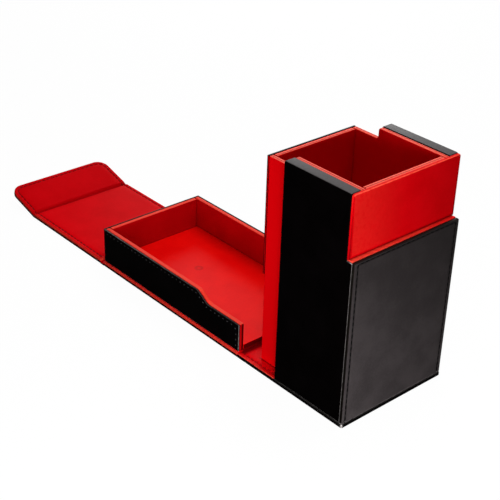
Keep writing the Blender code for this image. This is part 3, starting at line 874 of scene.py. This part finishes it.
def make_apron():
    """The lining in front of the tower, which carries on across the tray's fold, its two seams,
    and the doubled leather under the fold."""
    low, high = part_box("tray_hinge_lining")
    foot_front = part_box("side_leather_right")[0].y
    plan = Plan(COVER_HALF, -foot_front + 0.3 * MM, -low.y - 0.15 * MM + SHEET_GAP, 0.2 * MM, 0.2 * MM)
    fold = -TRAY_FOLD.y

    def top(x, run, depth):
        ripple = 0.05 * MM * math.sin(run / (2.3 * MM)) * smooth((COVER_HALF - abs(x)) / (2 * MM))
        return high.z + ripple - rounded(depth, 0.3 * MM) - dent(COVER_HALF - abs(x), SEAM_INSET)

    def under(x, run, depth):
        return low.z

    neck_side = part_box("inner_wall_right")[1].x
    neck_front = -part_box("front_facing")[0].y

    def wear(x, run, depth):
        """Painted shade also along the foot of the neck, and in the fold between the tray's walls."""
        neck_foot_shade = 0.6 * line_strength(abs(x) - neck_side, 0.6 * MM) * smooth((neck_front - run) / MM)
        return lining_wear(x, run, COVER_HALF - abs(x)) - neck_foot_shade - fold_shade(x, run)

    bend_runs = steps(fold - TRAY_BEND, fold + TRAY_BEND, 10)
    runs = steps(plan.start, plan.end, 24) + bend_runs
    foot_insets = [COVER_HALF - neck_side + share * 0.6 * MM for share in (-2, -1, 0, 1, 2)]
    apron = build_sheet(
        "apron_lining", plan, top, under, on_strip, LINING, "red_leather",
        sorted(edge_insets(0.3 * MM, 0.3 * MM, (SEAM_INSET,))[:-1] + foot_insets), runs, wear,
    )
    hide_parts("base_lining", "tray_hinge_lining")
    low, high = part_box("tray_hinge_leather")
    plan = Plan(
        COVER_HALF, -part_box("base_leather")[0].y + SHEET_GAP, -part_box("tray_leather")[1].y - SHEET_GAP,
        0.1 * MM, 0.1 * MM,
    )

    def leather_top(x, run, depth):
        return high.z - rounded(COVER_HALF - abs(x), RIM_ROUND)

    def leather_under(x, run, depth):
        return rounded(COVER_HALF - abs(x), LEATHER_ROUND)

    leather = build_sheet(
        "tray_fold_leather", plan, leather_top, leather_under, on_strip, SMOOTH_BLACK, "black_leather",
        edge_insets(RIM_ROUND, RIM_ROUND), bend_runs,
    )
    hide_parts("tray_hinge_leather")
    pieces = [apron, leather]
    for side, sign in SIDES:
        x = sign * (COVER_HALF - SEAM_INSET)
        path = [Vector((x, -foot_front + 2 * MM)), Vector((x, fold + TRAY_BEND))]
        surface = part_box("tray_hinge_lining")[1].z
        dense = thicken(path, MM)
        pieces.append(
            build_seam(f"apron_seam_{side}", dense, on_strip, surface, BRIGHT_THREAD, "red_leather")
        )
    for piece in pieces:
        on_strip(0, fold - TRAY_BEND, 0)
        on_strip(0, fold + TRAY_BEND, 0)
        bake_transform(piece)


def make_base_cover():
    low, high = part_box("base_leather")
    plan = Plan(COVER_HALF, -high.y, -low.y)

    def under(x, run, depth):
        return rounded(depth, LEATHER_ROUND)

    def upper(x, run, depth):
        return high.z - rounded(depth, RIM_ROUND) if depth < BASE_LEATHER else BASE_LEATHER

    def wear(x, run, depth):
        """A faint painted highlight runs along the edge, and the right rear corner is frayed lighter."""
        corner = math.hypot(plan.half - x, run - plan.start)
        return 0.06 * line_strength(depth - 0.35 * MM, 0.2 * MM) + 1.3 * line_strength(corner, 0.65 * MM)

    cover = build_sheet(
        "base_cover", plan, under, upper, on_strip, SMOOTH_BLACK, "black_leather",
        edge_insets(RIM_ROUND, BASE_LEATHER), steps(plan.start, plan.end, 4), wear,
    )
    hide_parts("base_leather")
    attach(cover, "tower")


def make_back_cover():
    """The stitched panel below the ledge, which stands up behind the ledge's strip. Its margin
    outside the seam slopes away a little."""
    low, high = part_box("back_leather")
    thickness = high.y - low.y
    top = high.z + BACK_RISE
    plan = Plan(COVER_HALF, low.z, top, 0.6 * MM, 1.2 * MM)

    def beside_seam(x, run):
        """How far inside the seam a point lies: below zero in the margin."""
        across = COVER_HALF - SEAM_INSET - abs(x)
        above = top - BACK_SEAM_DROP - run
        if across < BACK_SEAM_CORNER and above < BACK_SEAM_CORNER:
            return BACK_SEAM_CORNER - math.hypot(BACK_SEAM_CORNER - across, BACK_SEAM_CORNER - above)
        return min(across, above)

    def outer(x, run, depth):
        inside = beside_seam(x, run)
        margin = 0.25 * MM * smooth(-inside / (3.6 * MM))
        groove = SEAM_DENT * math.exp(-((inside / SEAM_WIDTH) ** 2))
        return thickness - rounded(depth, 0.5 * MM) - margin - groove

    def inner(x, run, depth):
        return 0.0 if depth < TURNED_LEATHER else thickness - TURNED_LEATHER - 0.3 * MM

    def on_back(x, run, height):
        return Vector((x, low.y + height, run))

    def wear(x, run, depth):
        """A painted highlight along the foot, painted shade at the edges, the seam pressed dark, and
        painted shade growing towards the top and towards the left side.
        """
        if run - low.z < 1.2 * MM:
            return 0.30 * line_strength(run - low.z - 0.2 * MM, 0.4 * MM)
        seam_line = BACK_PRESS * line_strength(beside_seam(x, run), BACK_PRESS_WIDTH)
        shade = 0.62 * (run - low.z) / (top - low.z) + 0.03 - 0.10 * x / high.x
        seam_press_and_edge_shade = max(seam_line, smooth(1.4 - depth / (0.4 * MM)))
        return -(shade + (1 - shade) * seam_press_and_edge_shade)

    insets = edge_insets(0.5 * MM, TURNED_LEATHER, (BACK_SEAM_DROP, SEAM_INSET))
    cover = build_sheet(
        "back_cover", plan, outer, inner, on_back, GRAINED_BLACK, "black_leather", insets,
        steps(plan.start, plan.end, 8), wear,
    )
    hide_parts("back_leather")
    seam_x = COVER_HALF - SEAM_INSET
    seam_top = top - BACK_SEAM_DROP
    corners = [(-seam_x, low.z), (seam_x, low.z), (seam_x, seam_top), (-seam_x, seam_top)]
    path = outline(corners, [0, 0, BACK_SEAM_CORNER, BACK_SEAM_CORNER])[1:] + [Vector((-seam_x, low.z + MM))]
    path[0] = Vector((seam_x, low.z + MM))
    seam = build_seam(
        "back_seam", path, on_back, thickness - SEAM_DENT * 0.5, BLACK_THREAD, "black_leather",
        thread=BACK_THREAD,
    )
    for piece in (cover, seam):
        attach(piece, "tower")


def make_recess_cover():
    """The red panel above the ledge, with a soft edge and rounded top corners."""
    low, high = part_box("back_panel")
    corners = [(low.x, low.z), (high.x, low.z), (high.x, high.z), (low.x, high.z)]
    profile = rounded_profile(high.y - low.y, RECESS_ROUND) + [(0.0, 0.2 * MM, 0.0), (0.2 * MM, 0.0, 0.0)]

    def on_recess(x, up, out):
        return Vector((x, low.y + out, up))

    def wear(x, up, share):
        """A painted highlight along the top, painted shade along the foot and beside the side panels,
        and a painted sheen that grows towards its right side."""
        edge = 1.8 * smooth((up - high.z + RECESS_CORNER) / RECESS_CORNER) - 0.4
        foot_shade = smooth((low.z + 3 * RECESS_ROUND - up) / (2 * RECESS_ROUND))
        return share * edge + (1 - share) * 0.17 * x / high.x - 0.6 * foot_shade

    radii = [0, 0, RECESS_CORNER, RECESS_CORNER]
    panel = build_plate("recess_cover", corners, radii, profile, on_recess, LINING, "red_leather", wear)
    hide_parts("back_panel")
    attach(panel, "tower")


def make_ledge_strip():
    """The red strip on the ledge. It ends short of the stitched panel's outer face."""
    low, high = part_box("ledge_strip")
    end = high.y - LEDGE_END
    corners = [(low.x, low.y), (high.x, low.y), (high.x, end), (low.x, end)]
    profile = rounded_profile(high.z - low.z, 0.3 * MM) + [(0.0, 0.1 * MM, 0.0), (0.1 * MM, 0.0, 0.0)]

    def on_ledge(x, y, height):
        return Vector((x, y, low.z + height))

    radii = [0.3 * MM] * 4

    def wear(x, y, share):
        """A painted highlight all over, stronger towards its right end."""
        return 0.5 + 0.4 * x / high.x

    strip = build_plate("ledge_cover", corners, radii, profile, on_ledge, LINING, "red_leather", wear)
    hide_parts("ledge_strip")
    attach(strip, "tower")


def make_side_wraps():
    """The leather turned round the side panels, with soft edges."""
    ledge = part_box("back_spacer")[1].z
    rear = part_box("back_panel")[0].y - 0.3 * MM
    for side, sign in SIDES:
        low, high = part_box(f"side_leather_{side}")
        thickness = high.x - low.x
        inner_face = low.x if sign > 0 else high.x
        corners = [
            (low.y, low.z),
            (high.y, low.z),
            (high.y, ledge),
            (rear, ledge),
            (rear, high.z),
            (low.y, high.z),
        ]
        radii = [1.2 * MM, 1.2 * MM, 1.2 * MM, 0, 1.2 * MM, 1.2 * MM]
        profile = rounded_profile(thickness, WRAP_ROUND)
        profile += [(0.0, 0.3 * MM, 0.4), (0.3 * MM, 0.0, 0.2)]
        profile += [(TURNED_LEATHER, 0.0, 0.0), (TURNED_LEATHER, thickness - TURNED_LEATHER, 0.0)]

        def on_side(along, up, out, sign=sign, inner_face=inner_face):
            return Vector((inner_face + sign * out, along, up))

        def wear(along, up, share):
            """A painted highlight on the step's edge, and a weaker one on the foot's rear edge."""
            behind = share * smooth((along - rear) / MM)
            return behind * (0.25 + 1.5 * smooth((up - ledge + 0.3 * MM) / (0.3 * MM)))

        wrap = build_plate(
            f"side_wrap_{side}", corners, radii, profile, on_side, SIDE_BLACK, "black_leather", wear
        )
        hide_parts(f"side_leather_{side}")
        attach(wrap, "tower")


def make_tray_skins():
    """The leather on the outside of the tray's three walls, and its seams below the rim."""
    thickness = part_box("tray_skin_end")[1].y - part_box("tray_skin_end")[0].y
    profile = rounded_profile(thickness, SKIN_ROUND)
    profile += [(0.0, 0.1 * MM, 0.2), (0.1 * MM, 0.0, 0.0)]
    for side, sign in SIDES:
        low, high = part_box(f"tray_skin_{side}")
        start, end = -high.y, -low.y
        step_start = start + LOW_RIM_LENGTH
        low_rim = high.z - LOW_RIM_DROP
        corners = [
            (start, low.z),
            (end, low.z),
            (end, high.z),
            (step_start + RIM_STEP_LENGTH, high.z),
            (step_start, low_rim),
            (start, low_rim),
        ]
        radii = [0, 0, 0, RIM_STEP_RADIUS, RIM_STEP_RADIUS, 0.8 * MM]
        inner_face = low.x if sign > 0 else high.x

        def on_skin(run, up, out, sign=sign, inner_face=inner_face):
            return Vector((inner_face + sign * out, -run, up))

        def wear(run, up, share, rim_wear=0.08 if sign > 0 else 0.0):
            """Both ends are lighter, and the right skin's rim has a faint painted highlight."""
            ends = smooth((start + MM - run) / MM) + smooth((run + MM - end) / MM)
            return share * max(rim_wear * smooth((up - low_rim + MM) / MM), 0.4 * ends)

        skin = build_plate(
            f"tray_side_skin_{side}", corners, radii, profile, on_skin, SMOOTH_BLACK, "black_leather", wear
        )
        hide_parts(f"tray_skin_{side}")
        radii[5] = SEAM_CORNER * 2
        loop = outline(corners, radii, SKIN_SEAM_INSET)
        path = [Vector((end - 1.5 * MM, high.z - SKIN_SEAM_INSET))] + loop[3:] + [
            Vector((start + SKIN_SEAM_INSET, low.z + 1.5 * MM))
        ]
        seam = build_seam(
            f"tray_side_seam_{side}", path, on_skin, thickness, GREY_THREAD, "black_leather", SHORT_STITCH
        )
        for piece in (skin, seam):
            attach(piece, "tray")
    low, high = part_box("tray_skin_end")
    corners = [(low.x, low.z), (high.x, low.z), (high.x, high.z), (low.x, high.z)]

    def on_end(x, up, out):
        return Vector((x, high.y - out, up))

    skin = build_plate("tray_end_skin", corners, [0] * 4, profile, on_end, SMOOTH_BLACK, "black_leather")
    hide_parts("tray_skin_end")
    seam_height = high.z - SKIN_SEAM_INSET
    path = [Vector((high.x - 1.5 * MM, seam_height)), Vector((low.x + 1.5 * MM, seam_height))]
    seam = build_seam("tray_end_seam", path, on_end, thickness, GREY_THREAD, "black_leather", SHORT_STITCH)
    for piece in (skin, seam):
        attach(piece, "tray")


def dress_carried_nodes():
    """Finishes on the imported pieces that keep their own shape."""
    finishes = {
        "red_leather": WALL_LINING,
        "black_leather": SMOOTH_BLACK,
        "grey_board": BOARD,
        "nickel": NICKEL,
    }
    floor = frame["nodes"]["tray_floor"]
    low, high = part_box("tray_magnet")
    spot = floor.matrix_world.inverted() @ Vector(((low.x + high.x) / 2, (low.y + high.y) / 2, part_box("tray_floor")[1].z))
    mouth = (frame["nodes"]["inner_wall_left"].matrix_world.inverted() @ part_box("inner_wall_left")[1]).z
    neck = make_neck_lining("neck_side_lining", "X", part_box("inner_wall_right")[1].x - NECK_CREASE, mouth - SHAFT_FADE)
    neck_end = make_neck_lining("neck_end_lining", "Y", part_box("inner_wall_back")[1].y - NECK_CREASE, mouth)
    tray = make_tray_lining(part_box("tray_wall_right")[0].x + OPEN_END_CREASE)
    facing = frame["nodes"]["front_facing"]
    backing = facing.matrix_world.inverted() @ Vector((0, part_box("front_facing")[0].y + FACING_SKIN, 0))
    own_finishes = {
        "front_facing": make_facing_leather(backing.y),
        "inner_wall_right": neck,
        "inner_wall_left": neck,
        "inner_wall_back": neck_end,
        "inner_wall_front": neck_end,
        "tray_wall_right": tray,
        "tray_wall_left": tray,
        "tray_wall_end": SHADED_TRAY_END_LINING,
        "tray_floor": make_floor_lining(spot, MAGNET_MARK),
        "exit_ramp": LINING,
        "upper_baffle": LINING,
        "lower_baffle": LINING,
    }
    for row in frame["record"]["subparts"]:
        node = frame["nodes"][row["node"]]
        if node.hide_render:
            continue
        finish = own_finishes.get(row["node"]) or finishes[row["material_slot"]]
        node.data.materials.clear()
        node.data.materials.append(finish.material)


def add_lamp(name, azimuth, elevation, distance, width, height, strength, aim):
    """A soft box. Its strength is how bright its face is, where 1 is white."""
    data = bpy.data.lights.new(name, "AREA")
    data.shape = "RECTANGLE"
    data.size = width
    data.size_y = height
    data.energy = strength * math.pi * width * height
    lamp = bpy.data.objects.new(name, data)
    bpy.context.scene.collection.objects.link(lamp)
    turn, rise = math.radians(azimuth), math.radians(elevation)
    back = Vector((math.sin(turn) * math.cos(rise), -math.cos(turn) * math.cos(rise), math.sin(rise)))
    lamp.location = Vector(aim) + back * distance
    lamp.rotation_euler = (-back).to_track_quat("-Z", "Y").to_euler()
    return lamp


def make_floor():
    """A white floor. For the camera only a small share of it takes the lamps' light, so that it
    shows the object's shadow and otherwise stays white."""
    mesh = bpy.data.meshes.new("floor")
    corners = [(x * FLOOR_REACH, y * FLOOR_REACH, -FLOOR_DROP) for x, y in ((-1, -1), (1, -1), (1, 1), (-1, 1))]
    mesh.from_pydata(corners, [], [(0, 1, 2, 3)])
    floor = bpy.data.objects.new("floor", mesh)
    bpy.context.scene.collection.objects.link(floor)
    material = bpy.data.materials.new("floor")
    material.use_nodes = True
    tree = material.node_tree
    tree.nodes.clear()
    output = tree.nodes.new("ShaderNodeOutputMaterial")
    lit = tree.nodes.new("ShaderNodeBsdfDiffuse")
    lit.inputs["Color"].default_value = (1.0, 1.0, 1.0, 1.0)
    white = tree.nodes.new("ShaderNodeEmission")
    seen = tree.nodes.new("ShaderNodeMixShader")
    seen.inputs[0].default_value = 1 - SHADOW_SHARE
    bounce = tree.nodes.new("ShaderNodeBsdfDiffuse")
    bounce.inputs["Color"].default_value = (*[FLOOR_BOUNCE] * 3, 1.0)
    chosen = tree.nodes.new("ShaderNodeMixShader")
    tree.links.new(lit.outputs[0], seen.inputs[1])
    tree.links.new(white.outputs[0], seen.inputs[2])
    tree.links.new(background_rays(tree), chosen.inputs[0])
    tree.links.new(bounce.outputs[0], chosen.inputs[1])
    tree.links.new(seen.outputs[0], chosen.inputs[2])
    tree.links.new(chosen.outputs[0], output.inputs["Surface"])
    mesh.materials.append(material)
    floor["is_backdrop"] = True


def background_rays(tree, others=()):
    """1 for the rays that show the white background, and 0 for those that carry light."""
    rays = tree.nodes.new("ShaderNodeLightPath")
    shown = rays.outputs["Is Camera Ray"]
    for name in others:
        either = tree.nodes.new("ShaderNodeMath")
        either.operation = "MAXIMUM"
        tree.links.new(shown, either.inputs[0])
        tree.links.new(rays.outputs[name], either.inputs[1])
        shown = either.outputs[0]
    return shown


def light_scene():
    scene = bpy.context.scene
    scene.view_settings.view_transform = "Standard"
    world = bpy.data.worlds.new("studio")
    scene.world = world
    world.use_nodes = True
    tree = world.node_tree
    room = tree.nodes["Background"]
    room.inputs["Color"].default_value = (1.0, 1.0, 1.0, 1.0)
    strength = tree.nodes.new("ShaderNodeMapRange")
    strength.inputs["To Min"].default_value = ROOM_LIGHT
    strength.inputs["To Max"].default_value = 1.0
    tree.links.new(background_rays(tree, MIRRORED_RAYS), strength.inputs["Value"])
    tree.links.new(strength.outputs[0], room.inputs["Strength"])
    add_lamp("high_box", -100, 70, 0.64, 0.32, 0.32, 6.1, (0.0, -0.05, 0.05))
    add_lamp("rear_box", -60, 52, 1.00, 0.50, 0.50, 1.8, (0.0, -0.05, 0.05))
    add_lamp("horizon_box", -42, 22, 1.00, 0.50, 0.50, 4.2, (0.0, -0.05, 0.05))
    add_lamp("top_box", 150, 75, 0.55, 0.30, 0.30, 2.8, (0.0, -0.03, 0.08))
    add_lamp("low_strip", 110, 4, 0.45, 0.50, 0.06, 8.6, (0.03, -0.02, 0.05))
    add_lamp("near_box", 145, 12, 0.27, 0.16, 0.12, 8.0, (0.04, 0.03, 0.08))
    add_lamp("side_box", 125, 12, 0.27, 0.16, 0.12, 5.2, (0.04, 0.03, 0.08))


def make_camera():
    """The photograph's viewpoint: azimuth, height, tilt, distance and lens."""
    azimuth = math.radians(137.977)
    elevation = math.radians(29.884)
    roll = math.radians(1.953)
    distance = 0.77808
    target = Vector((-0.00320, -0.09130, 0.03587))
    picture = 500.0
    focal_pixels = 1172.49
    centre_pixels = (251.66, 260.38)
    back = Vector(
        (
            math.sin(azimuth) * math.cos(elevation),
            -math.cos(azimuth) * math.cos(elevation),
            math.sin(elevation),
        )
    )
    level = Vector((math.cos(azimuth), math.sin(azimuth), 0.0))
    upright = back.cross(level)
    right = level * math.cos(roll) + upright * math.sin(roll)
    up = upright * math.cos(roll) - level * math.sin(roll)
    data = bpy.data.cameras.new("camera")
    data.sensor_width = 36.0
    data.lens = focal_pixels / picture * data.sensor_width
    data.shift_x = (picture / 2 - centre_pixels[0]) / picture
    data.shift_y = (centre_pixels[1] - picture / 2) / picture
    data.clip_start = 0.01
    camera = bpy.data.objects.new("camera", data)
    bpy.context.scene.collection.objects.link(camera)
    turned = Matrix((right, up, back)).transposed().to_4x4()
    camera.matrix_world = Matrix.Translation(target + back * distance) @ turned
    bpy.context.scene.camera = camera


make_camera()
make_cover_end()
make_lid_fold()
make_tray_cover()
make_apron()
make_base_cover()
make_back_cover()
make_recess_cover()
make_ledge_strip()
make_side_wraps()
make_tray_skins()
dress_carried_nodes()
make_floor()
light_scene()

boxes = {"cad": cad_bounds, "visual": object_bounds()}
{name: [list(corner) for corner in box] for name, box in boxes.items()}
